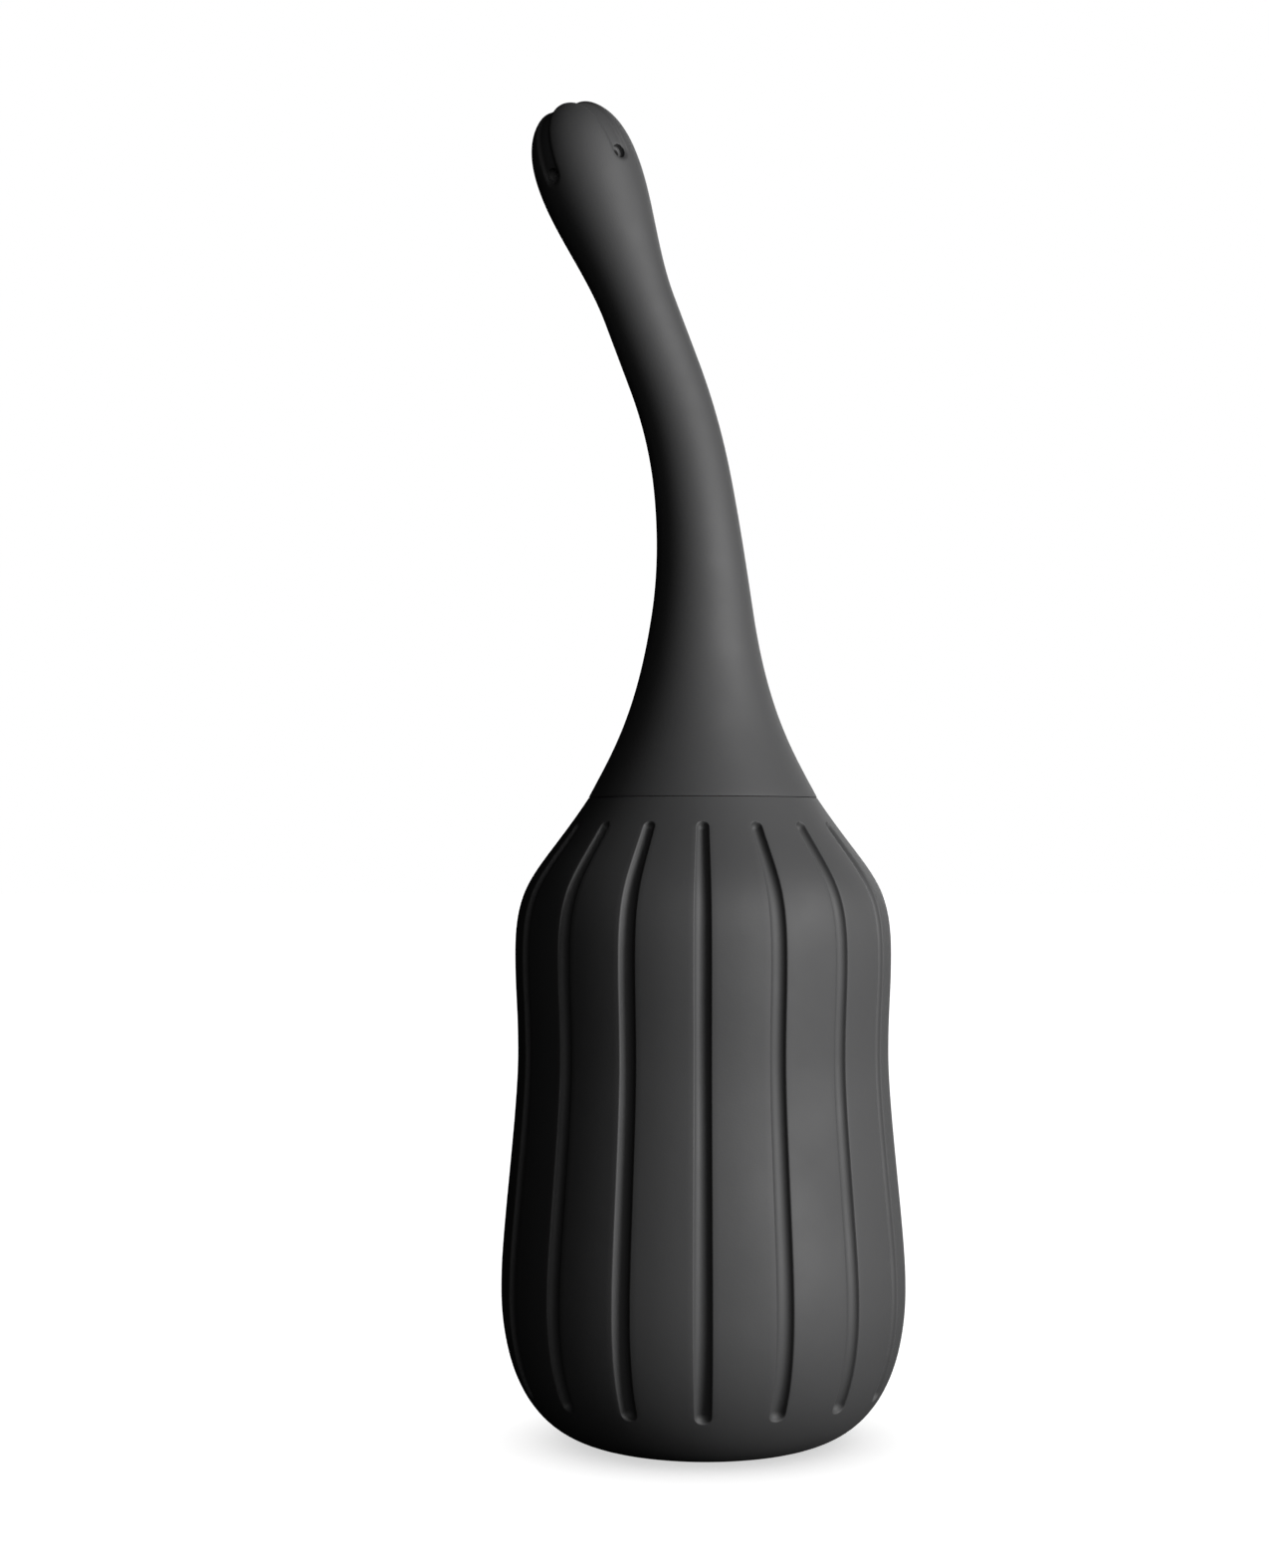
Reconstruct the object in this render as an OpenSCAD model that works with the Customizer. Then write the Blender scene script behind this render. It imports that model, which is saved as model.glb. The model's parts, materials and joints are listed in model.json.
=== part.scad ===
// Squeeze bulb blower: a soft ribbed bulb with a long curved nozzle that screws into its mouth.
// Millimetres. Z is the bulb's axis, the base rests on z = 0, and the nozzle leans towards -X.

/* [Bulb] */
// Radius of the flat ring that the bulb stands on
base_r = 20.9; // [18:0.05:26]
// Radius of the belly, the widest part
belly_r = 37.5; // [36:0.1:42]
// Height of the belly
belly_z = 29.5; // [26:0.5:34]
// Radius of the waist
waist_r = 34.45; // [33:0.05:37]
// Height of the waist
waist_z = 71.5; // [66:0.5:76]
// Radius of the shoulder
shoulder_r = 35; // [34:0.1:38]
// Height of the shoulder
shoulder_z = 90; // [86:0.5:94]
// Outer radius of the mouth, where the nozzle sits
mouth_r = 21.35; // [20:0.05:23]
// Height of the mouth's top face
mouth_z = 118.7; // [114:0.1:124]
// Wall thickness of the bulb
wall = 3.2; // [2.6:0.1:4]

/* [Grip grooves] */
// Number of grooves round the bulb
groove_count = 16; // [8:1:20]
// Angle that each groove takes, in degrees
groove_angle = 4.7; // [3:0.1:7]
// Depth of a groove
groove_depth = 1.2; // [0.6:0.1:1.6]
// Height of a groove's lower end
groove_low_z = 9.35; // [6:0.05:14]
// Height of a groove's upper end
groove_high_z = 114.1; // [100:0.1:116]

/* [Nozzle] */
// Distance along the nozzle to where it starts to lean
bend_start = 33; // [30:0.5:36]
// Radius of the first, slower bend
bend_r1 = 175; // [150:1:220]
// Lean at the end of the first bend, in degrees
bend_a1 = 8.2; // [6:0.1:10]
// Radius of the second, tighter bend
bend_r2 = 101.5; // [90:0.5:130]
// Lean of the straight tip, in degrees
tip_lean = 20.5; // [16:0.1:24]
// Radius of the slim neck
neck_r = 6.97; // [6.4:0.01:8]
// Distance along the nozzle to the head's widest ring
head_s = 119.9; // [112:0.1:124]
// Radius of the head
head_r = 9.82; // [9:0.01:11]
// Height of the head's rounded end
dome_h = 14.3; // [12:0.1:16]
// Depth of the four flutes over the head
flute_depth = 0.5; // [0.3:0.1:0.8]
// Radius of each outlet hole
outlet_r = 1.35; // [0.8:0.05:1.5]
// Radius of the fine bore in each outlet's floor
outlet_bore_r = 0.6; // [0.4:0.05:1]
// Radius of the air channel
channel_r = 3.2; // [2.4:0.1:3.6]

/* [Screw joint] */
// Rise of the thread per turn
thread_pitch = 4; // [3.6:0.1:4.4]
// Turns of thread on the plug
thread_turns = 2; // [1:0.25:2]

/* [Hidden] */
$fn = 96;

fit = 0.05;
flex_gap = 0.3;
seam_gap = 0.1;
skin = "#1b1b1d";

// Bulb: four curves, each of four control points [radius, height]
curve_steps = 8;
belly = [belly_r, belly_z];
waist = [waist_r, waist_z];
shoulder = [shoulder_r, shoulder_z];
mouth = [mouth_r, mouth_z];
bulb_curves = [
    [[base_r, 0], [belly_r + 1.1, 3.7], belly - [0, 2.3], belly],
    [belly, belly + [0, 9], waist - [0, 11], waist],
    [waist, waist + [0, 8], shoulder - [0, 7], shoulder],
    [shoulder, shoulder + [0, 13.8], mouth + [9.5, -14.3], mouth]
];

// Base valve
base_wall = 4.2;
recess_r = 12;
recess_z = 2.1;
bush_r = 9;
bush_top = 7.4;
web_z = 3.2;
web_h = 1.4;
web_hole_r = 1.1;
web_hole_count = 8;
web_ring_r = 5;
stem_r = 1.2;
flap_r = 7;
flap_h = 0.8;
flap_lift = 1;

// Neck of the bulb and the threaded collar in it
neck_bore_r = 17;
ceiling_z = 104;
ledge_z = 110;
ledge_r = 20;
collar_top = 117.4;
collar_foot = 107.5;
thread_root_r = 12.2;
thread_crest_r = 13.9;
collar_crest_r = 12.6;
collar_root_r = 14.3;
thread_low_z = 107.2;

// Seal ring between the collar and the plug's flange
seal_r = 15.8;
seal_cord_r = 0.73;

// Plug and outlet valve
skirt_z = mouth_z + seam_gap;
flange_low = skirt_z + 0.1;
flange_high = flange_low + 2.4;
flange_r = 18.6;
cone_r = 14.6;
plug_top = 134;
plug_top_r = 8.6;
plug_low = 106;
inlet_r = 8.4;
seat_low = 107;
seat_high = 110.5;
seat_hole_r = 3.5;
chamber_r = 6.4;
chamber_top = 130;
ball_r = 5;
ball_z = seat_high + 3.4;
spring_wire_r = 0.35;
spring_r = 3;
spring_turns = 5;
spring_low = ball_z + sqrt(pow(ball_r, 2) - pow(spring_r, 2)) + 1.2 * spring_wire_r;
spring_high = chamber_top - spring_wire_r - fit;

// Nozzle line: straight, two arcs that touch, straight
nozzle_z = 119.1;
flare_s = 78;
swell_s = 93;
arc1_end = bend_start + bend_r1 * bend_a1 * PI / 180;
arc2_end = arc1_end + bend_r2 * (tip_lean - bend_a1) * PI / 180;
arc1_point = [-bend_r1 * (1 - cos(bend_a1)), nozzle_z + bend_start + bend_r1 * sin(bend_a1)];
arc2_point = arc1_point + bend_r2 * [cos(tip_lean) - cos(bend_a1), sin(tip_lean) - sin(bend_a1)];
flare_curve = [[0, 21.2], [12.55, 14.54], [24, neck_r], [flare_s, neck_r]];
swell_curve = [[swell_s, neck_r], [swell_s + 9.4, neck_r], [head_s - 8.4, head_r], [head_s, head_r]];
dome_power = 2.36;
flex_s = 34;
flex_ball_r = 9.4;
outlet_s = 120.9;
outlet_floor_r = 8.2;
flute_half_w = 1.7;
head_hollow_r = 5.5;

function bezier(p, t) =
    pow(1 - t, 3) * p[0] + 3 * pow(1 - t, 2) * t * p[1] + 3 * (1 - t) * t * t * p[2] + pow(t, 3) * p[3];

function direction(p, t) =
    pow(1 - t, 2) * (p[1] - p[0]) + 2 * (1 - t) * t * (p[2] - p[1]) + t * t * (p[3] - p[2]);

// Point of a curve, moved inwards by depth
function inset(p, t, depth) =
    let (d = direction(p, t))
    bezier(p, t) + depth * [-d[1], d[0]] / norm(d);

// The bulb's side from the base to the mouth, moved inwards by depth
function bulb_line(depth) = [
    for (curve = bulb_curves, i = [0 : curve_steps]) if (i > 0 || curve == bulb_curves[0])
        inset(curve, i / curve_steps, depth)
];

function lean(s) =
    s < bend_start ? 0 :
    s < arc1_end ? (s - bend_start) / bend_r1 * 180 / PI :
    s < arc2_end ? bend_a1 + (s - arc1_end) / bend_r2 * 180 / PI : tip_lean;

// Point [x, z] on the nozzle's line at distance s
function line_point(s) =
    s < bend_start ? [0, nozzle_z + s] :
    s < arc1_end ? [-bend_r1 * (1 - cos(lean(s))), nozzle_z + bend_start + bend_r1 * sin(lean(s))] :
    s < arc2_end ? arc1_point + bend_r2 * [cos(lean(s)) - cos(bend_a1), sin(lean(s)) - sin(bend_a1)] :
    arc2_point + (s - arc2_end) * [-sin(tip_lean), cos(tip_lean)];

// Parameter at which a curve [distance, radius] reaches distance s
function reach(p, s, low = 0, high = 1, n = 24) =
    n == 0 ? (low + high) / 2 :
    let (mid = (low + high) / 2)
    bezier(p, mid)[0] < s ? reach(p, s, mid, high, n - 1) : reach(p, s, low, mid, n - 1);

// Outer radius of the nozzle at distance s
function nozzle_r(s) =
    s < flare_s ? bezier(flare_curve, reach(flare_curve, s))[1] :
    s < swell_s ? neck_r :
    s < head_s ? bezier(swell_curve, reach(swell_curve, s))[1] :
    head_r * pow(max(0, 1 - pow((s - head_s) / dome_h, dome_power)), 1 / dome_power);

// Depth of the flutes at distance s, at side mm from the nearest one's middle
function flute(s, side) =
    norm([side, max(0, outlet_s - s)]) < flute_half_w ? flute_depth : 0;

// Share of a move along the head's outward normal: [distance, radius]
function head_normal(s, r) =
    let (
        along = pow(max(0, s - head_s) / dome_h, dome_power - 1) / dome_h,
        across = pow(r / head_r, dome_power - 1) / head_r)
    s > head_s ? [along, across] / norm([along, across]) : [0, 1];

// Angles of the head's columns at radius r: a pair on each side of every flute's wall, the rest evenly spaced
function columns(r) =
    let (
        floor_a = asin(min(0.6, (flute_half_w - 0.4) / r)),
        edge_a = asin(min(0.68, (flute_half_w + 0.1) / r)),
        side_a = [floor_a, edge_a, edge_a + (45 - edge_a) / 3, edge_a + (45 - edge_a) * 2 / 3])
    [for (q = [0 : 3], off = [-45, -side_a[3], -side_a[2], -side_a[1], -side_a[0], each side_a])
        45 + 90 * q + off];

function nozzle_point(s, r, a) =
    let (c = line_point(s), k = lean(s))
    [c[0] + r * cos(a) * cos(k), r * sin(a), c[1] + r * cos(a) * sin(k)];

// Square rings of a closed solid: faces between ring i and ring i + 1, ends closed on the axis points
function tube_faces(rings, n) = concat(
    [for (j = [0 : n - 1]) [0, 1 + (j + 1) % n, 1 + j]],
    [for (i = [0 : rings - 2], j = [0 : n - 1])
        [1 + i * n + j, 1 + i * n + (j + 1) % n, 1 + (i + 1) * n + j]],
    [for (i = [0 : rings - 2], j = [0 : n - 1])
        [1 + i * n + (j + 1) % n, 1 + (i + 1) * n + (j + 1) % n, 1 + (i + 1) * n + j]],
    [for (j = [0 : n - 1]) [1 + rings * n, 1 + (rings - 1) * n + j, 1 + (rings - 1) * n + (j + 1) % n]]
);

// Ridge of a right-hand thread between two radii; root and crest are half heights
module thread_ridge(root_r, crest_r, low_z, turns) {
    steps = 24;
    count = floor(steps * turns);
    root = 1.1;
    crest = 0.5;
    points = [for (i = [0 : count], q = [[root_r, -root], [crest_r, -crest], [crest_r, crest], [root_r, root]])
        let (a = 360 * i / steps)
        [q[0] * cos(a), q[0] * sin(a), low_z + thread_pitch * i / steps + q[1]]];
    outward = crest_r > root_r;
    sections = [for (i = [0 : count - 1], j = [0 : 3])
        [4 * i + j, 4 * i + 4 + j, 4 * i + 4 + (j + 1) % 4, 4 * i + (j + 1) % 4]];
    split = [for (f = sections) each [[f[0], f[1], f[2]], [f[0], f[2], f[3]]]];
    end = 4 * count;
    ends = [[0, 1, 2], [0, 2, 3], [end + 2, end + 1, end], [end + 3, end + 2, end]];
    faces = concat(split, ends);
    polyhedron(points, outward ? [for (f = faces) [f[2], f[1], f[0]]] : faces);
}

module ring(r, r_in, z0, z1) {
    difference() {
        translate([0, 0, z0]) cylinder(h = z1 - z0, r = r);
        translate([0, 0, z0 - 1]) cylinder(h = z1 - z0 + 2, r = r_in);
    }
}

module groove() {
    inner = [for (p = bulb_line(groove_depth)) if (p[1] > groove_low_z && p[1] < groove_high_z) p];
    low = [inner[0][0], groove_low_z];
    last = inner[len(inner) - 1];
    high = [last[0] - (groove_high_z - last[1]) * 0.66, groove_high_z];
    rotate([0, 0, -groove_angle / 2])
    rotate_extrude(angle = groove_angle)
    polygon(concat([low], inner, [high, high + [10, 0], [belly_r + 10, last[1]], low + [10, 0]]));
}

module bulb_solid(depth) {
    line = bulb_line(depth);
    rotate_extrude()
    polygon(concat([[0, line[0][1]]], line, [[0, line[len(line) - 1][1]]]));
}

module squeeze_bulb() color(skin)
difference() {
    bulb_solid(0);
    intersection() {
        bulb_solid(wall);
        translate([0, 0, base_wall]) cylinder(h = ceiling_z - base_wall, r = belly_r);
    }
    translate([0, 0, ceiling_z - 0.5]) cylinder(h = ledge_z - ceiling_z + 0.5, r1 = ledge_r + 6, r2 = ledge_r);
    translate([0, 0, ceiling_z]) cylinder(h = mouth_z, r = neck_bore_r + fit);
    translate([0, 0, -1]) cylinder(h = recess_z + 1, r = recess_r);
    cylinder(h = 2 * base_wall, r = bush_r + fit);
    for (i = [0 : groove_count - 1])
        rotate([0, 0, i * 360 / groove_count]) groove();
}

module intake_bush() color("#3a3a3e")
difference() {
    union() {
        translate([0, 0, 0.7]) cylinder(h = recess_z - 0.05 - 0.7, r = recess_r - 0.5);
        translate([0, 0, 0.7]) cylinder(h = bush_top - 0.7, r = bush_r);
    }
    cylinder(h = web_z, r = bush_r - 1.6);
    translate([0, 0, web_z + web_h]) cylinder(h = bush_top, r = bush_r - 1.4);
    cylinder(h = bush_top, r = stem_r + 0.1);
    for (i = [0 : web_hole_count - 1])
        rotate([0, 0, i * 360 / web_hole_count])
        translate([web_ring_r, 0, 0]) cylinder(h = bush_top, r = web_hole_r);
}

module intake_flap() color("#7d1f1c") {
    flap_z = web_z + web_h + 0.02;
    foot_z = web_z - flap_lift - 0.9;
    translate([0, 0, flap_z]) cylinder(h = flap_h, r = flap_r);
    translate([0, 0, foot_z]) cylinder(h = flap_z - foot_z + 0.1, r = stem_r);
    translate([0, 0, foot_z]) cylinder(h = 0.8, r = stem_r + 0.6);
}

module retaining_ring() color("#3a3a3e")
ring(bush_r + 3.4, bush_r + fit, base_wall + 0.05, bush_top - 0.4);

module mouth_collar() color("#303034") {
    difference() {
        union() {
            translate([0, 0, collar_foot]) cylinder(h = collar_top - collar_foot, r = neck_bore_r);
            translate([0, 0, collar_foot]) cylinder(h = ledge_z - 0.1 - collar_foot, r = ledge_r - 0.8);
        }
        translate([0, 0, collar_foot - 1]) cylinder(h = collar_top, r = collar_root_r);
    }
    thread_ridge(collar_root_r + 0.3, collar_crest_r, thread_low_z + thread_pitch / 2, 1.75);
}

module seal_ring() color("#8a2320")
translate([0, 0, collar_top + seal_cord_r + 0.02])
rotate_extrude()
translate([seal_r, 0]) circle(r = seal_cord_r, $fn = 32);

module nozzle_plug() color("#3a3a3e") {
    difference() {
        union() {
            translate([0, 0, plug_low]) cylinder(h = flange_high - plug_low, r = thread_root_r);
            translate([0, 0, flange_low]) cylinder(h = flange_high - flange_low, r = flange_r);
            translate([0, 0, flange_high - 0.01])
                cylinder(h = plug_top - flange_high, r1 = cone_r, r2 = plug_top_r);
        }
        translate([0, 0, plug_low - 1]) cylinder(h = seat_high + 1 - plug_low, r = inlet_r);
        translate([0, 0, plug_low]) cylinder(h = chamber_top - plug_low, r = chamber_r);
        cylinder(h = plug_top + 1, r = channel_r + 0.8);
    }
    thread_ridge(thread_root_r - 0.3, thread_crest_r, thread_low_z, thread_turns);
}

module outlet_seat() color("#8f9096")
difference() {
    translate([0, 0, seat_low]) cylinder(h = seat_high - fit - seat_low, r = inlet_r - fit);
    cylinder(h = plug_top, r = seat_hole_r);
    translate([0, 0, ball_z]) sphere(r = ball_r + 0.05);
}

module outlet_ball() color("#d8d8dc")
translate([0, 0, ball_z]) sphere(r = ball_r);

module outlet_spring() color("#b9bcc2") {
    steps = 16;
    around = 6;
    count = steps * spring_turns;
    rise = spring_high - spring_low;
    section = function (i) let (
        a = 360 * i / steps,
        c = [spring_r * cos(a), spring_r * sin(a), spring_low + rise * i / count])
        [for (j = [0 : around - 1])
            let (b = 360 * j / around)
            c + spring_wire_r * [cos(b) * cos(a), cos(b) * sin(a), sin(b)]];
    rings = [for (i = [0 : count]) each section(i)];
    first = [spring_r, 0, spring_low];
    last = [spring_r, 0, spring_high];
    polyhedron(concat([first], rings, [last]), tube_faces(count + 1, around));
}

module nozzle_lower() color(skin) {
    top_s = flex_s - 1.5;
    rings = 12;
    difference() {
        rotate_extrude()
        polygon(concat(
            [[0, skirt_z], [mouth_r, skirt_z]],
            [for (i = [0 : rings]) let (s = top_s * i / rings) [nozzle_r(s), nozzle_z + s]],
            [[0, nozzle_z + top_s]]));
        translate([0, 0, skirt_z - 1]) cylinder(h = flange_high + fit - skirt_z + 1, r = flange_r + fit);
        translate([0, 0, flange_high])
            cylinder(h = plug_top - flange_high + fit, r1 = cone_r + fit, r2 = plug_top_r + fit);
        cylinder(h = 200, r = channel_r + 0.8);
        translate([0, 0, nozzle_z + flex_s]) sphere(r = flex_ball_r + flex_gap);
    }
}

module nozzle_upper() color(skin) {
    cup_end = -acos(channel_r / flex_ball_r);
    dome = [for (a = [10 : 10 : 80]) head_s + dome_h * cos(a)];
    swell = [for (i = [1 : 8]) head_s - (head_s - swell_s) * i / 8];
    neck = [for (i = [1 : 15]) swell_s - (swell_s - flex_s) * i / 15];
    cup = [for (i = [1 : 5]) [flex_s + flex_ball_r * sin(cup_end * i / 5), flex_ball_r * cos(cup_end * i / 5)]];
    outside = [for (s = concat(dome, [head_s + 0.9, head_s, head_s - 1], swell, neck)) [s, nozzle_r(s)]];
    channel = [for (i = [1 : 12]) [20 + (swell_s - 20) * i / 12, channel_r]];
    hollow = [[head_s - 20, head_hollow_r], [head_s - 8, head_hollow_r], [head_s + 3, head_hollow_r],
        [head_s + 6, head_hollow_r * 0.7]];
    profile = concat(outside, cup, channel, hollow);
    outer_count = len(outside);
    sides = len(columns(head_r));
    points = [for (i = [0 : len(profile) - 1])
        let (s = profile[i][0], r = profile[i][1], out = i < outer_count, n = head_normal(s, r))
        for (a = columns(out ? r : 7.5))
        let (deep = out ? flute(s, r * sin(abs(a % 90 - 45))) : 0)
        nozzle_point(s - deep * n[0], r - deep * n[1], a)];
    apex = nozzle_point(head_s + dome_h - flute_depth, 0, 0);
    inner_apex = nozzle_point(head_s + 7.5, 0, 0);
    hole = line_point(outlet_s);
    difference() {
        polyhedron(concat([apex], points, [inner_apex]), tube_faces(len(profile), sides));
        translate([hole[0], 0, hole[1]])
        rotate([0, -tip_lean, 0])
        for (a = [45 : 90 : 315])
            rotate([0, 90, a]) {
                translate([0, 0, outlet_floor_r]) cylinder(h = head_r - outlet_floor_r + 1, r = outlet_r, $fn = 32);
                translate([0, 0, 3]) cylinder(h = head_r - 3, r = outlet_bore_r, $fn = 24);
            }
    }
}

squeeze_bulb();
intake_bush();
intake_flap();
retaining_ring();
mouth_collar();
seal_ring();
nozzle_plug();
outlet_seat();
outlet_ball();
outlet_spring();
nozzle_lower();
nozzle_upper();
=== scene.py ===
"""Squeeze bulb blower: the looks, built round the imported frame.

Shapes are worked out in millimetres, and mesh_object() turns them into metres.
"""
import json
import math

import bpy
import numpy as np
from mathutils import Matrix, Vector


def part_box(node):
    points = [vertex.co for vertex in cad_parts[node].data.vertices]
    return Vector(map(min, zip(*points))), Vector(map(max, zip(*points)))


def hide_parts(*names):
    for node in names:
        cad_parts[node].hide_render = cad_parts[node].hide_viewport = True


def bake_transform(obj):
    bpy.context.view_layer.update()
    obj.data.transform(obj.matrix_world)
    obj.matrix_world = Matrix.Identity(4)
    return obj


MM = 0.001
SHARP_ANGLE = math.radians(50)
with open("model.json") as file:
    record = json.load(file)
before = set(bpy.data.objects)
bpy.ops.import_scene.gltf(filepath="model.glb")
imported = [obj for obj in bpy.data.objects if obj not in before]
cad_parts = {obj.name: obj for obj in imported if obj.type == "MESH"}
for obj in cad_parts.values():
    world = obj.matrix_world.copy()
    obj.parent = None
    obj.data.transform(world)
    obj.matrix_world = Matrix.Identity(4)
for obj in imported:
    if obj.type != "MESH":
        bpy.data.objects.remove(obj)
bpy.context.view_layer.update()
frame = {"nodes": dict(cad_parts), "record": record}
slots = {m["slot"]: m for m in frame["record"]["materials"]}


# ---------------------------------------------------------------- sizes, as in the CAD, in millimetres

bulb_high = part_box("squeeze_bulb")[1]

FIT = 0.05
MOUTH_Z = bulb_high[2] / MM
BASE_R = 20.9
BELLY = (37.5, 29.5)
WAIST = (34.45, 71.5)
SHOULDER = (35.0, 90.0)
MOUTH = (21.35, MOUTH_Z)
BULB_CURVES = [
    [(BASE_R, 0.0), (BELLY[0] + 1.1, 3.7), (BELLY[0], BELLY[1] - 2.3), BELLY],
    [BELLY, (BELLY[0], BELLY[1] + 9.0), (WAIST[0], WAIST[1] - 11.0), WAIST],
    [WAIST, (WAIST[0], WAIST[1] + 8.0), (SHOULDER[0], SHOULDER[1] - 7.0), SHOULDER],
    [SHOULDER, (SHOULDER[0], SHOULDER[1] + 13.8), (MOUTH[0] + 9.5, MOUTH[1] - 14.3), MOUTH],
]
WALL = 3.2
BASE_WALL = 4.2
RECESS_R = 12.0
RECESS_Z = 2.1
BUSH_R = 9.0
NECK_BORE_R = 17.0
LEDGE_R = 20.0
LEDGE_Z = 110.0
CEILING_R = 26.0
CEILING_Z = 104.0
GROOVES = 16
GROOVE_HALF = math.radians(4.7 / 2)
GROOVE_DEPTH = 1.2
GROOVE_LOW_Z = 9.35
GROOVE_HIGH_Z = 114.1

NOZZLE_Z = 119.1
BEND_START = 33.0
BEND_R1 = 175.0
BEND_A1 = math.radians(8.2)
BEND_R2 = 101.5
TIP_LEAN = math.radians(20.5)
NECK_R = 6.97
FLARE_S = 78.0
SWELL_S = 93.0
HEAD_S = 119.9
HEAD_R = 9.82
DOME_H = 14.3
DOME_POWER = 2.36
FLARE = [(0.0, 21.2), (12.55, 14.54), (24.0, NECK_R), (FLARE_S, NECK_R)]
SWELL = [(SWELL_S, NECK_R), (SWELL_S + 9.4, NECK_R), (HEAD_S - 8.4, HEAD_R), (HEAD_S, HEAD_R)]
OUTLET_S = 120.9
OUTLET_R = 1.35
OUTLET_BORE_R = 0.6
OUTLET_FLOOR_R = 8.2
OUTLET_SINK = 0.1
FLUTE_DEPTH = 0.5
FLUTE_HALF = 1.7
FLUTE_SQUARENESS = 14
HEAD_ANGLES = [math.radians(a) for a in (45, 135, 225, 315)]
SKIRT_S = -0.3
SKIRT_R = 21.33
FLANGE_S = 2.2
FLANGE_R = 18.6
CONE_R = 14.6
PLUG_TOP_S = 14.9
PLUG_TOP_R = 8.6
THROAT_R = 4.0
CHANNEL_R = 3.2
HOLLOW_R = 5.5
HOLLOW_TOP_R = 3.85
HOLLOW_APEX_S = HEAD_S + 7.5
NOZZLE_COLUMNS = 256


# ---------------------------------------------------------------- curves

def bezier(p, t):
    """Points of a cubic curve at the parameters t."""
    p = np.array(p, float)
    t = np.atleast_1d(t)[:, None]
    return (1 - t) ** 3 * p[0] + 3 * (1 - t) ** 2 * t * p[1] + 3 * (1 - t) * t * t * p[2] + t ** 3 * p[3]


def dense_line(curves, count=400):
    """One polyline through a chain of curves, without double points."""
    parts = [bezier(c, np.linspace(0, 1, count))[(0 if i == 0 else 1):] for i, c in enumerate(curves)]
    return np.vstack(parts)


def lengths(line):
    """How far along the polyline each of its points is."""
    return np.concatenate([[0], np.cumsum(np.linalg.norm(np.diff(line, axis=0), axis=1))])


def resample(line, at):
    """Points of a polyline at the distances at."""
    s = lengths(line)
    return np.column_stack([np.interp(at, s, line[:, k]) for k in range(line.shape[1])])


def fillet(corners, reaches, steps=4):
    """A polyline whose inner corners are rounded off over the reaches; the first and last points stay."""
    corners = [np.array(c, float) for c in corners]
    out = [corners[0]]
    for i in range(1, len(corners) - 1):
        a, b, c = corners[i - 1], corners[i], corners[i + 1]
        u, v = (a - b) / np.linalg.norm(a - b), (c - b) / np.linalg.norm(c - b)
        reach = reaches[i - 1]
        if reach <= 0:
            out.append(b)
            continue
        p, q = b + u * reach, b + v * reach
        for k in range(steps + 1):
            t = k / steps
            out.append((1 - t) ** 2 * p + 2 * (1 - t) * t * b + t * t * q)
    out.append(corners[-1])
    return np.array(out)


def spaced(line, step):
    """A polyline with extra points, so that none are further apart than step."""
    out = [line[0]]
    for a, b in zip(line[:-1], line[1:]):
        n = max(1, int(math.ceil(np.linalg.norm(b - a) / step)))
        out += [a + (b - a) * k / n for k in range(1, n + 1)]
    return np.array(out)


def outward(line):
    """Unit normals of a line [r, z] that goes up on the object's outside."""
    d = np.gradient(line, axis=0)
    n = np.column_stack([d[:, 1], -d[:, 0]])
    return n / np.linalg.norm(n, axis=1)[:, None]


def smooth_step(x, low, high):
    """0 up to low, 1 from high on, and a smooth rise between."""
    t = np.clip((x - low) / (high - low), 0, 1)
    return t * t * (3 - 2 * t)


# ---------------------------------------------------------------- meshes

def mesh_object(name, points, faces, material):
    """A smooth mesh object in a material slot. Points are in millimetres."""
    mesh = bpy.data.meshes.new(name)
    mesh.from_pydata((np.asarray(points) * MM).tolist(), [], faces)
    mesh.validate()
    mesh.shade_smooth()
    mesh.materials.append(material)
    obj = bpy.data.objects.new(name, mesh)
    bpy.context.scene.collection.objects.link(obj)
    return obj


def grid_faces(rows, columns, closed_rows=False):
    """Quads over a grid whose columns close into rings, and whose rows close too if closed_rows."""
    faces = []
    for i in range(rows if closed_rows else rows - 1):
        a, b = i * columns, ((i + 1) % rows) * columns
        for j in range(columns):
            k = (j + 1) % columns
            faces.append((a + j, a + k, b + k, b + j))
    return faces


# ---------------------------------------------------------------- materials

def material_of(name, slot_name, roughness, **sockets):
    """A material whose Principled shader has the slot's colour. Returns it, its node tree and the shader."""
    material = bpy.data.materials.new(name)
    material.use_nodes = True
    tree = material.node_tree
    shader = tree.nodes["Principled BSDF"]
    color = list(slots[slot_name]["base_color"])[:3]
    shader.inputs["Base Color"].default_value = (*color, 1)
    shader.inputs["Roughness"].default_value = roughness
    for socket, value in sockets.items():
        shader.inputs[socket.replace("_", " ")].default_value = value
    return material, tree, shader


def noise(tree, scale, detail=3.0, rough=0.5):
    """A noise texture in object coordinates, in features per metre."""
    where = tree.nodes.new("ShaderNodeTexCoord")
    texture = tree.nodes.new("ShaderNodeTexNoise")
    texture.inputs["Scale"].default_value = scale
    texture.inputs["Detail"].default_value = detail
    texture.inputs["Roughness"].default_value = rough
    tree.links.new(where.outputs["Object"], texture.inputs["Vector"])
    return texture


def ramp(tree, source, low, high, start=0.35, end=0.65):
    """Maps a texture's value between two numbers."""
    node = tree.nodes.new("ShaderNodeMapRange")
    node.inputs["From Min"].default_value = start
    node.inputs["From Max"].default_value = end
    node.inputs["To Min"].default_value = low
    node.inputs["To Max"].default_value = high
    tree.links.new(source, node.inputs["Value"])
    return node.outputs["Result"]


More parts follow.
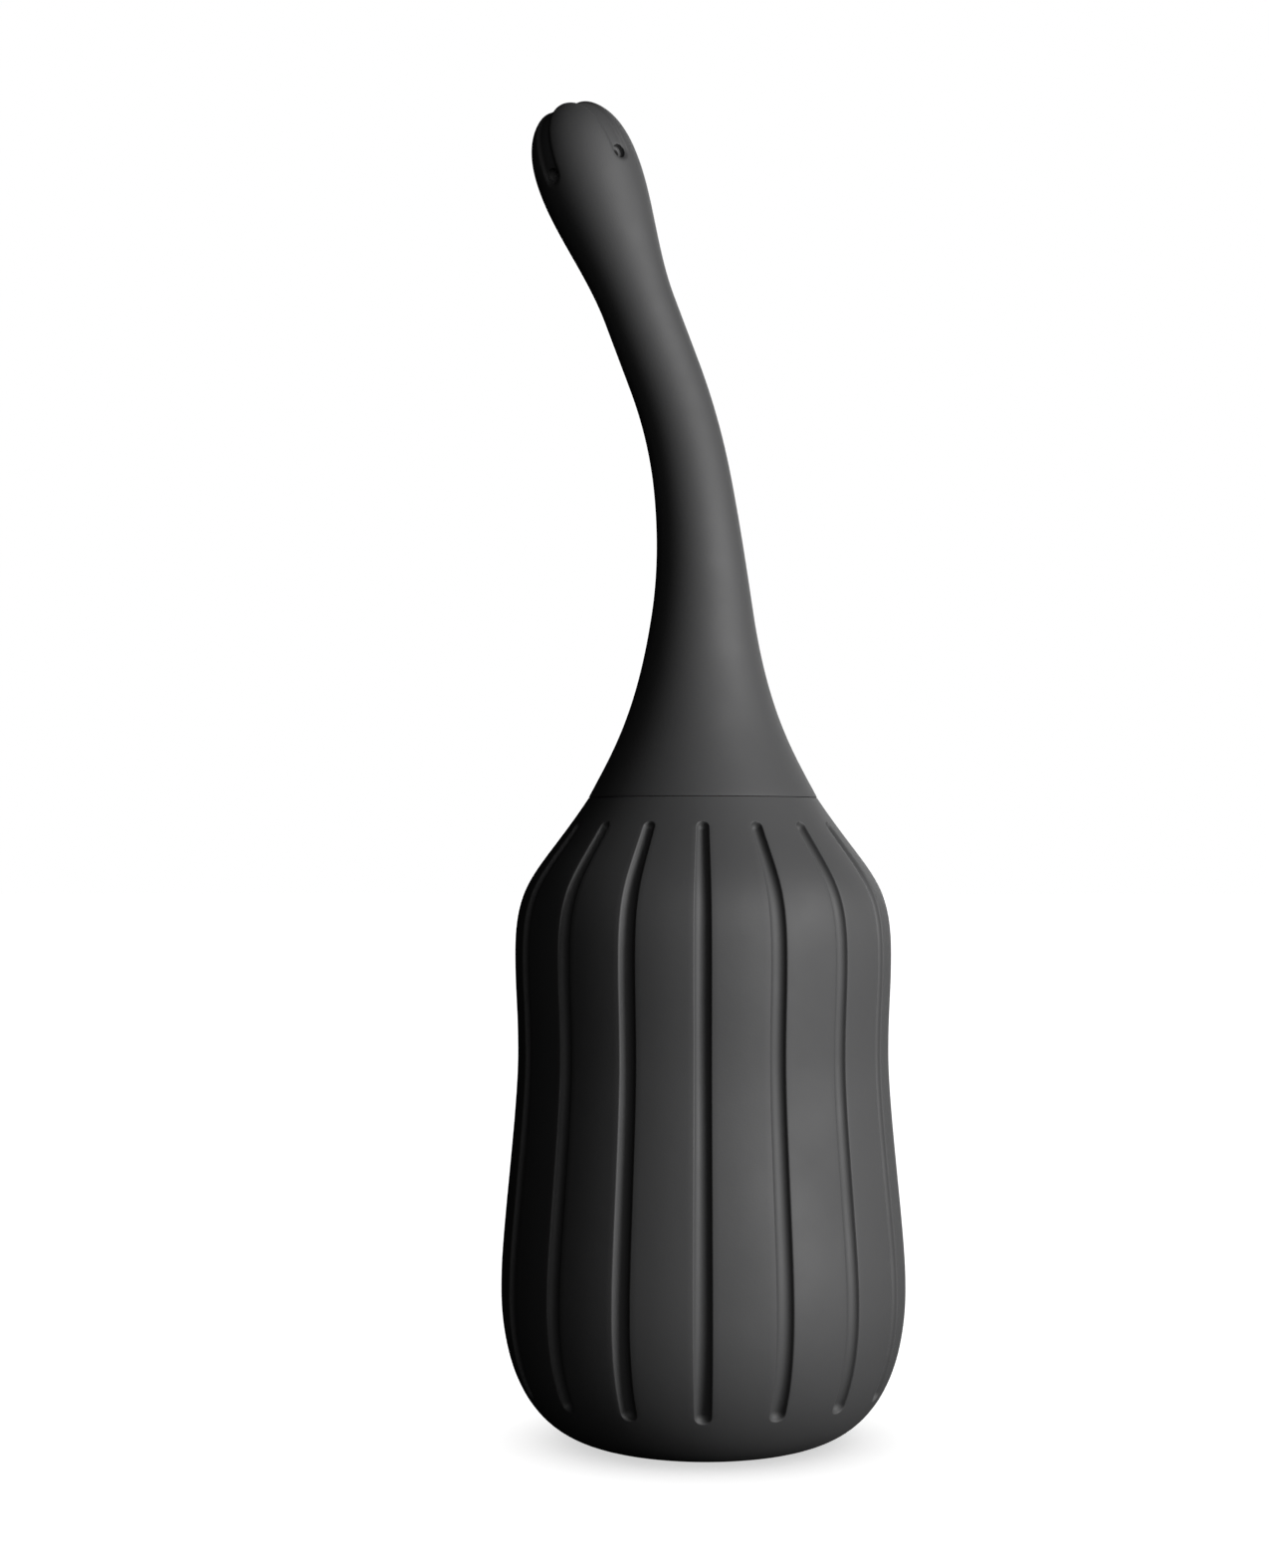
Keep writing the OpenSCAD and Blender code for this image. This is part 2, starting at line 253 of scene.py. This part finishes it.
def bump(tree, shader, height, strength, distance, below=None):
    """Bump from a texture's value, on top of an earlier bump node if there is one below."""
    node = tree.nodes.new("ShaderNodeBump")
    node.inputs["Strength"].default_value = strength
    node.inputs["Distance"].default_value = distance
    tree.links.new(height, node.inputs["Height"])
    if below is not None:
        tree.links.new(below.outputs["Normal"], node.inputs["Normal"])
    tree.links.new(node.outputs["Normal"], shader.inputs["Normal"])
    return node


def silicone():
    """Black matte silicone: a fine moulded grain over slow waves, and a patchy sheen."""
    material, tree, shader = material_of("black_silicone", "soft_skin", 0.7)
    patches = noise(tree, 45, 4)
    tree.links.new(ramp(tree, patches.outputs["Fac"], 0.66, 0.74), shader.inputs["Roughness"])
    waves = noise(tree, 160, 2)
    first = bump(tree, shader, waves.outputs["Fac"], 0.12, 0.0004)
    grain = noise(tree, 3200, 2)
    bump(tree, shader, grain.outputs["Fac"], 0.16, 0.00006, below=first)
    return material


def plastic():
    """Dark moulded plastic, a little glossier than the silicone."""
    material, tree, shader = material_of("moulded_plastic", "hard_plastic", 0.34)
    patches = noise(tree, 120, 4)
    tree.links.new(ramp(tree, patches.outputs["Fac"], 0.30, 0.42), shader.inputs["Roughness"])
    grain = noise(tree, 2600, 3)
    bump(tree, shader, grain.outputs["Fac"], 0.10, 0.00005)
    return material


def seal_rubber():
    """Soft rubber with a fine grain and an uneven sheen."""
    material, tree, shader = material_of("seal_rubber", "seal_rubber", 0.55)
    grain = noise(tree, 1800, 3)
    tree.links.new(ramp(tree, grain.outputs["Fac"], 0.48, 0.62), shader.inputs["Roughness"])
    bump(tree, shader, grain.outputs["Fac"], 0.12, 0.00006)
    return material


def steel():
    """Polished steel with light scuffs."""
    material, tree, shader = material_of("polished_steel", "steel", 0.18, Metallic=1.0)
    scuffs = noise(tree, 900, 5, 0.6)
    tree.links.new(ramp(tree, scuffs.outputs["Fac"], 0.12, 0.26), shader.inputs["Roughness"])
    bump(tree, shader, scuffs.outputs["Fac"], 0.04, 0.00002)
    return material


SILICONE = silicone()
PLASTIC = plastic()
SEAL = seal_rubber()
STEEL = steel()


# ---------------------------------------------------------------- bulb

def groove_columns():
    """Angles round the bulb, close together over each groove."""
    shares = [0, 0.2, 0.4, 0.58, 0.72, 0.83, 0.91, 0.97, 1.03, 1.1, 1.22, 1.9, 3.3]
    step = 2 * math.pi / GROOVES
    near = [s * GROOVE_HALF for s in shares]
    period = [-a for a in reversed(near[1:])] + near + [step / 2]
    return np.array([g * step + a for g in range(GROOVES) for a in period])


def groove_profile(x):
    """Depth share of a half round groove with eased edges, x half widths from its middle."""
    edge_softness = 0.004
    edge, land = 0.98, 1.16
    inside = 1 - x * x
    eased = (inside + np.sqrt(inside * inside + edge_softness)) / 2
    return np.sqrt(eased) * (1 - smooth_step(x, edge, land))


def bulb_rows():
    """Rows of the bulb's outside, close together over the grooves' ends, with their distances."""
    line = dense_line(BULB_CURVES)
    s = lengths(line)
    ends = [np.interp(GROOVE_LOW_Z, line[:, 1], s), np.interp(GROOVE_HIGH_Z, line[:, 1], s)]
    fine_step, added_step = 0.12, 1.1
    fine_reach, coarse_reach = 0.5, 4.5
    end_shift = 0.3
    mouth_gap, mouth_edge = 0.7, 0.07
    at = [0.0]
    while at[-1] < s[-1] - mouth_gap:
        near = min(abs(at[-1] - ends[0] - end_shift), abs(at[-1] - ends[1] + end_shift))
        at.append(at[-1] + fine_step + added_step * float(smooth_step(near, fine_reach, coarse_reach)))
    at[-1] = s[-1] - mouth_edge
    return resample(line, np.array(at)), np.array(at), ends, line


def grooved_outside(angles):
    """The bulb's outside rows, and their points with the grooves pressed in along the outline's normals."""
    rows, at, ends, line = bulb_rows()
    nudge = 0.05
    normals = outward(resample(line, np.sort(np.concatenate([at - nudge, at + nudge]))))[::2]
    step = 2 * math.pi / GROOVES
    off = (angles + step / 2) % step - step / 2
    r, z = rows[:, 0][:, None], rows[:, 1][:, None]
    half = r * GROOVE_HALF
    low_end, high_end = ends[0] + half, ends[1] - half
    beyond = np.maximum(0, np.maximum(low_end - at[:, None], at[:, None] - high_end))
    depth = GROOVE_DEPTH * groove_profile(np.hypot(r * off[None, :], beyond) / half)
    radius = r - normals[:, 0][:, None] * depth
    height = z - normals[:, 1][:, None] * depth
    return rows, np.stack([radius * np.cos(angles), radius * np.sin(angles), height + 0 * radius], axis=2)


def plain_rows(rows):
    """The rest of the bulb's section: in at the mouth, down the inside and out under the base."""
    inner = dense_line(BULB_CURVES)
    inner = inner - outward(inner) * WALL
    inner = inner[(inner[:, 1] > BASE_WALL + 0.4) & (inner[:, 1] < CEILING_Z - 0.5)]
    inner = resample(inner, np.linspace(0, lengths(inner)[-1], 20))[::-1]
    neck_r = NECK_BORE_R + FIT
    hole_r = BUSH_R + FIT
    top = [rows[-1], MOUTH, (neck_r, MOUTH_Z), (neck_r, LEDGE_Z)]
    top += [(LEDGE_R, LEDGE_Z), (CEILING_R, CEILING_Z), inner[0]]
    bottom = [inner[-1], (CEILING_R, BASE_WALL), (hole_r, BASE_WALL), (hole_r, RECESS_Z)]
    bottom += [(RECESS_R, RECESS_Z), (RECESS_R, 0), rows[0]]
    top = fillet(top, [0.06, 0.2, 0.2, 0.3, 0.8])[1:-1]
    bottom = fillet(bottom, [3.0, 0.2, 0.0, 0.3, 0.4])[1:-1]
    return np.vstack([top, inner, bottom])


def turned(rows, angles):
    """Points of rows [r, z] at each of the angles round the Z axis."""
    ring = np.stack([np.cos(angles), np.sin(angles)], axis=1)
    heights = np.broadcast_to(rows[:, 1][:, None, None], (len(rows), len(angles), 1))
    return np.concatenate([rows[:, 0][:, None, None] * ring[None], heights], axis=2)


def make_bulb():
    """The bulb as one skin."""
    angles = groove_columns()
    rows, outside = grooved_outside(angles)
    grid = np.concatenate([outside, turned(plain_rows(rows), angles)])
    faces = grid_faces(len(grid), len(angles), closed_rows=True)
    bulb = mesh_object("bulb_skin", grid.reshape(-1, 3), faces, SILICONE)
    bulb.data.set_sharp_from_angle(angle=SHARP_ANGLE)
    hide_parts("squeeze_bulb")
    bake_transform(bulb)


# ---------------------------------------------------------------- nozzle

ARC1_END = BEND_START + BEND_R1 * BEND_A1
ARC2_END = ARC1_END + BEND_R2 * (TIP_LEAN - BEND_A1)


def lean(s):
    """How far the nozzle's line leans at the distances s."""
    first = (s - BEND_START) / BEND_R1
    second = BEND_A1 + (s - ARC1_END) / BEND_R2
    above = np.where(s < ARC2_END, second, TIP_LEAN)
    return np.where(s < BEND_START, 0, np.where(s < ARC1_END, first, above))


def line_point(s):
    """Points [x, z] on the nozzle's line: straight, two arcs that touch, straight."""
    s = np.asarray(s, float)
    a1 = np.clip((s - BEND_START) / BEND_R1, 0, BEND_A1)
    a2 = np.clip(BEND_A1 + (s - ARC1_END) / BEND_R2, BEND_A1, TIP_LEAN)
    last = np.maximum(0, s - ARC2_END)
    x = -BEND_R1 * (1 - np.cos(a1)) + BEND_R2 * (np.cos(a2) - np.cos(BEND_A1)) - last * math.sin(TIP_LEAN)
    z = NOZZLE_Z + np.minimum(s, BEND_START) + BEND_R1 * np.sin(a1)
    z = z + BEND_R2 * (np.sin(a2) - np.sin(BEND_A1)) + last * math.cos(TIP_LEAN)
    return x, z


def nozzle_outline():
    """The nozzle's outside as [distance, radius], from the skirt's rim to the head's apex."""
    flare = bezier(FLARE, np.linspace(0, 1, 400))
    swell = bezier(SWELL, np.linspace(0, 1, 200))
    angle = np.linspace(0, math.pi / 2, 300)[1:]
    power = 2 / DOME_POWER
    dome = np.column_stack([HEAD_S + DOME_H * np.sin(angle) ** power, HEAD_R * np.cos(angle) ** power])
    dome[-1] = (HEAD_S + DOME_H, 0)
    return np.vstack([flare, swell, dome])


def flute_depth(s, r, a):
    """How deep the flutes are: four channels from the apex down past the outlets, with round lower ends."""
    flute_edge = 0.97
    rim_in, rim_out = OUTLET_R - 0.05, OUTLET_R + 0.35
    far = 99
    deep = np.zeros_like(r * a)
    for f in HEAD_ANGLES:
        ahead = r * np.cos(a - f)
        side = np.abs(r * np.sin(a - f))
        side = np.where(ahead > 0, side, np.maximum(side, np.abs(r)))
        below = np.maximum(0, OUTLET_S - s)
        x = np.hypot(side, below) / FLUTE_HALF
        deep = np.maximum(deep, FLUTE_DEPTH / (1 + (x / flute_edge) ** FLUTE_SQUARENESS))
        rim = np.hypot(np.where(ahead > 0, r * np.sin(a - f), far), s - OUTLET_S)
        deep = deep + OUTLET_SINK * (1 - smooth_step(rim, rim_in, rim_out))
    return deep


def swept(profile, columns, fluted=False):
    """Points of a tube round the nozzle's line, from rows [distance, radius]; fluted adds the flutes."""
    a = np.zeros((len(profile), 1)) + np.arange(columns) * 2 * math.pi / columns
    s = profile[:, 0][:, None] + 0 * a
    r = profile[:, 1][:, None] + 0 * a
    if fluted:
        normal = outward(profile[:, ::-1])
        deep = flute_depth(s, r, a)
        r = r - deep * normal[:, 0][:, None]
        s = s - deep * normal[:, 1][:, None]
    x, z = line_point(s)
    tilt = lean(s)
    points = [x + r * np.cos(a) * np.cos(tilt), r * np.sin(a), z + r * np.cos(a) * np.sin(tilt)]
    return np.stack(points, axis=2)


def outside_rows():
    """The nozzle's outside from the flange's recess round the skirt's rim to just below the head's apex."""
    outline = nozzle_outline()
    total = lengths(outline)
    head = np.interp(HEAD_S - 4, outline[:, 0], total)
    body = np.linspace(0.2, head, 130)
    top = np.linspace(head, total[-1], 58)[1:-1]
    rows = resample(outline, np.concatenate([body, top]))
    recess_r = FLANGE_R + FIT
    rim = fillet([(FLANGE_S, recess_r), (SKIRT_S, recess_r), (SKIRT_S, SKIRT_R), rows[0]], [0.25, 0.06])
    return np.vstack([rim[1:-1], rows])


def inside_rows():
    """The nozzle's inside, from the head's hollow down the channel and over the plug to the recess."""
    inner = [
        (FLANGE_S, CONE_R + FIT), (PLUG_TOP_S + FIT, PLUG_TOP_R + FIT), (PLUG_TOP_S + FIT, THROAT_R),
        (30, THROAT_R), (36, CHANNEL_R), (99, CHANNEL_R),
        (104, HOLLOW_R), (123, HOLLOW_R), (126, HOLLOW_TOP_R),
    ]
    return np.vstack([spaced(np.array(inner)[::-1], 4.0), [(FLANGE_S, FLANGE_R + FIT)]])


def make_nozzle():
    """The nozzle as one skin over both its CAD nodes, so that the neck bends smoothly."""
    inner = swept(inside_rows(), NOZZLE_COLUMNS)
    outer = swept(outside_rows(), NOZZLE_COLUMNS, fluted=True)
    inner_apex = swept(np.array([[HOLLOW_APEX_S, 0.0]]), 1)[0, 0]
    apex = swept(np.array([[HEAD_S + DOME_H - FLUTE_DEPTH, 0.0]]), 1)[0, 0]
    grid = np.concatenate([inner, outer])
    faces = grid_faces(len(grid), NOZZLE_COLUMNS)
    points = list(grid.reshape(-1, 3)) + [inner_apex, apex]
    bottom, top = len(points) - 2, len(points) - 1
    last = (len(grid) - 1) * NOZZLE_COLUMNS
    faces += [(bottom, (j + 1) % NOZZLE_COLUMNS, j) for j in range(NOZZLE_COLUMNS)]
    faces += [(top, last + j, last + (j + 1) % NOZZLE_COLUMNS) for j in range(NOZZLE_COLUMNS)]
    nozzle = mesh_object("nozzle_skin", points, faces, SILICONE)
    cut_outlets(nozzle)
    nozzle.data.set_sharp_from_angle(angle=SHARP_ANGLE)
    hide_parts("nozzle_lower", "nozzle_upper")
    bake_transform(nozzle)


def outlet_steps():
    """An outlet's distances from the head's middle and radii: a fine bore, then a shallow recess."""
    floor = OUTLET_FLOOR_R
    return [
        (3.0, OUTLET_BORE_R), (floor - 0.1, OUTLET_BORE_R), (floor, OUTLET_BORE_R + 0.1),
        (floor, OUTLET_R - 0.12), (floor + 0.12, OUTLET_R), (14.0, OUTLET_R),
    ]


def cut_outlets(nozzle):
    """Cuts the four round outlets through the head's wall."""
    x, z = line_point(np.array([OUTLET_S]))
    centre = np.array([x[0], 0, z[0]])
    up = np.array([-math.sin(TIP_LEAN), 0, math.cos(TIP_LEAN)])
    steps = outlet_steps()
    sides, points, faces = 40, [], []
    for f in HEAD_ANGLES:
        start = len(points)
        axis = np.array([math.cos(f) * math.cos(TIP_LEAN), math.sin(f), math.cos(f) * math.sin(TIP_LEAN)])
        side = np.cross(axis, up)
        for reach, radius in steps:
            for k in range(sides):
                b = 2 * math.pi * k / sides
                points.append(centre + axis * reach + radius * (up * math.cos(b) + side * math.sin(b)))
        faces.append(tuple(start + k for k in reversed(range(sides))))
        faces.append(tuple(start + (len(steps) - 1) * sides + k for k in range(sides)))
        for i in range(len(steps) - 1):
            low = start + i * sides
            high = low + sides
            for k in range(sides):
                m = (k + 1) % sides
                faces.append((low + k, low + m, high + m, high + k))
    mesh = bpy.data.meshes.new("outlet_cutter")
    mesh.from_pydata((np.array(points) * MM).tolist(), [], faces)
    cutter = bpy.data.objects.new("outlet_cutter", mesh)
    bpy.context.scene.collection.objects.link(cutter)
    cut = nozzle.modifiers.new("outlets", "BOOLEAN")
    cut.object, cut.operation, cut.solver = cutter, "DIFFERENCE", "EXACT"
    graph = bpy.context.evaluated_depsgraph_get()
    made = bpy.data.meshes.new_from_object(nozzle.evaluated_get(graph))
    nozzle.modifiers.clear()
    nozzle.data = made
    bpy.data.objects.remove(cutter)
    made.shade_smooth()


# ---------------------------------------------------------------- spring

def make_spring():
    """The coil over the outlet ball: five turns that close up at both ends."""
    low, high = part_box("outlet_spring")
    wire, turns, around = 0.35, 5, 12
    flat_turns, flat_share = 0.75, 0.07
    radius = high[0] / MM - wire
    bottom, top = low[2] / MM + wire, high[2] / MM - wire
    steps = 40 * turns
    angle = np.linspace(0, 2 * math.pi * turns, steps + 1)
    turn_stops = [0, flat_turns, turns - flat_turns, turns]
    share = np.interp(np.linspace(0, turns, steps + 1), turn_stops, [0, flat_share, 1 - flat_share, 1])
    height = bottom + (top - bottom) * share
    points, faces = [], []
    for a, z in zip(angle, height):
        for k in range(around):
            b = 2 * math.pi * k / around
            r = radius + wire * math.cos(b)
            points.append((r * math.cos(a), r * math.sin(a), z + wire * math.sin(b)))
    for i in range(steps):
        for k in range(around):
            m = (k + 1) % around
            faces.append((i * around + k, (i + 1) * around + k, (i + 1) * around + m, i * around + m))
    faces.append(tuple(range(around)))
    faces.append(tuple(steps * around + k for k in reversed(range(around))))
    spring = mesh_object("outlet_coil", points, faces, STEEL)
    spring.data.set_sharp_from_angle(angle=SHARP_ANGLE)
    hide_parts("outlet_spring")
    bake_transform(spring)


# ---------------------------------------------------------------- CAD nodes that stay

def paint_cad_nodes():
    """Gives the CAD nodes that stay visible their materials."""
    chosen = {
        "intake_bush": PLASTIC,
        "retaining_ring": PLASTIC,
        "mouth_collar": PLASTIC,
        "nozzle_plug": PLASTIC,
        "outlet_seat": PLASTIC,
        "intake_flap": SEAL,
        "seal_ring": SEAL,
        "outlet_ball": STEEL,
    }
    for node, material in chosen.items():
        mesh = frame["nodes"][node].data
        mesh.materials.clear()
        mesh.materials.append(material)


# ---------------------------------------------------------------- stage

CAMERA_DISTANCE = 0.5096
CAMERA_HEIGHT = 0.1092
CAMERA_YAW = math.radians(1.434)
CAMERA_PITCH = math.radians(1.37)
CAMERA_LENS = 62.6
FLOOR_HALF = 6.0
FLOOR_DROP = 0.0002
FLOOR_GLOW = 0.62
FLOOR_SUN = 2.25
FLOOR_SUN_ANGLE = math.radians(130)


def make_camera():
    """A camera in front, level with the upper bulb, turned and tilted slightly."""
    data = bpy.data.cameras.new("camera")
    data.sensor_width = 36
    data.lens = CAMERA_LENS
    camera = bpy.data.objects.new("camera", data)
    camera.location = (0, -CAMERA_DISTANCE, CAMERA_HEIGHT)
    camera.rotation_euler = (math.radians(90) + CAMERA_PITCH, 0, CAMERA_YAW)
    bpy.context.scene.collection.objects.link(camera)
    bpy.context.scene.camera = camera


def area_light(name, place, target, size, power, spared):
    """A soft rectangular light aimed at the target, which lights what the collection spared lets it."""
    data = bpy.data.lights.new(name, "AREA")
    data.shape = "RECTANGLE"
    data.size, data.size_y = size
    data.energy = power
    light = bpy.data.objects.new(name, data)
    light.location = place
    light.rotation_euler = (Vector(target) - Vector(place)).to_track_quat("-Z", "Y").to_euler()
    light.light_linking.receiver_collection = spared
    bpy.context.scene.collection.objects.link(light)


def make_stage():
    """A pale floor that glows a little and sends no light up to the object."""
    material = bpy.data.materials.new("pale_floor")
    material.use_nodes = True
    shader = material.node_tree.nodes["Principled BSDF"]
    shader.inputs["Base Color"].default_value = (0.9, 0.9, 0.9, 1)
    shader.inputs["Roughness"].default_value = 0.9
    shader.inputs["Emission Color"].default_value = (1, 1, 1, 1)
    shader.inputs["Emission Strength"].default_value = FLOOR_GLOW
    half = FLOOR_HALF
    corners = [(-half, -half, 0), (half, -half, 0), (half, half, 0), (-half, half, 0)]
    mesh = bpy.data.meshes.new("floor")
    mesh.from_pydata(corners, [], [(0, 1, 2, 3)])
    mesh.materials.append(material)
    floor = bpy.data.objects.new("floor", mesh)
    bpy.context.scene.collection.objects.link(floor)
    floor.location.z = -FLOOR_DROP
    floor.visible_diffuse = False
    floor.visible_glossy = False
    return floor


def make_floor_sun(floor):
    """An even light for the floor alone, wide enough to leave only a soft shadow under the object."""
    data = bpy.data.lights.new("floor_sun", "SUN")
    data.energy = FLOOR_SUN
    data.angle = FLOOR_SUN_ANGLE
    sun = bpy.data.objects.new("floor_sun", data)
    bpy.context.scene.collection.objects.link(sun)
    lit = bpy.data.collections.new("floor_lit")
    lit.objects.link(floor)
    sun.light_linking.receiver_collection = lit


def without(floor):
    """A collection for light linking that leaves out only the floor."""
    spared = bpy.data.collections.new("floor_spared")
    spared.objects.link(floor)
    spared.collection_objects[0].light_linking.link_state = "EXCLUDE"
    return spared


def make_world():
    """A white backdrop that only the camera sees."""
    world = bpy.data.worlds.new("studio")
    bpy.context.scene.world = world
    world.use_nodes = True
    world.node_tree.nodes["Background"].inputs["Color"].default_value = (1, 1, 1, 1)
    world.node_tree.nodes["Background"].inputs["Strength"].default_value = 1.0
    world.cycles_visibility.diffuse = False
    world.cycles_visibility.glossy = False
    bpy.context.scene.view_settings.view_transform = "Standard"


def make_lights(spared):
    """A key from the front right, a weak rim and back light from behind, and a weak fill in front."""
    area_light("key", (0.77, -0.56, 0.36), (0, 0, 0.13), (0.44, 0.6), 22.3, spared)
    area_light("rim", (1.04, 0.6, 0.14), (0, 0, 0.12), (0.4, 0.5), 2.4, spared)
    area_light("back", (0.45, 1.2, 0.6), (0, 0, 0.12), (0.7, 0.7), 5, spared)
    area_light("front", (0.16, -1.3, 0.28), (0, 0, 0.12), (1.2, 0.8), 5.4, spared)


make_camera()
make_world()
stage_floor = make_stage()
make_floor_sun(stage_floor)
make_lights(without(stage_floor))
make_bulb()
make_nozzle()
make_spring()
paint_cad_nodes()
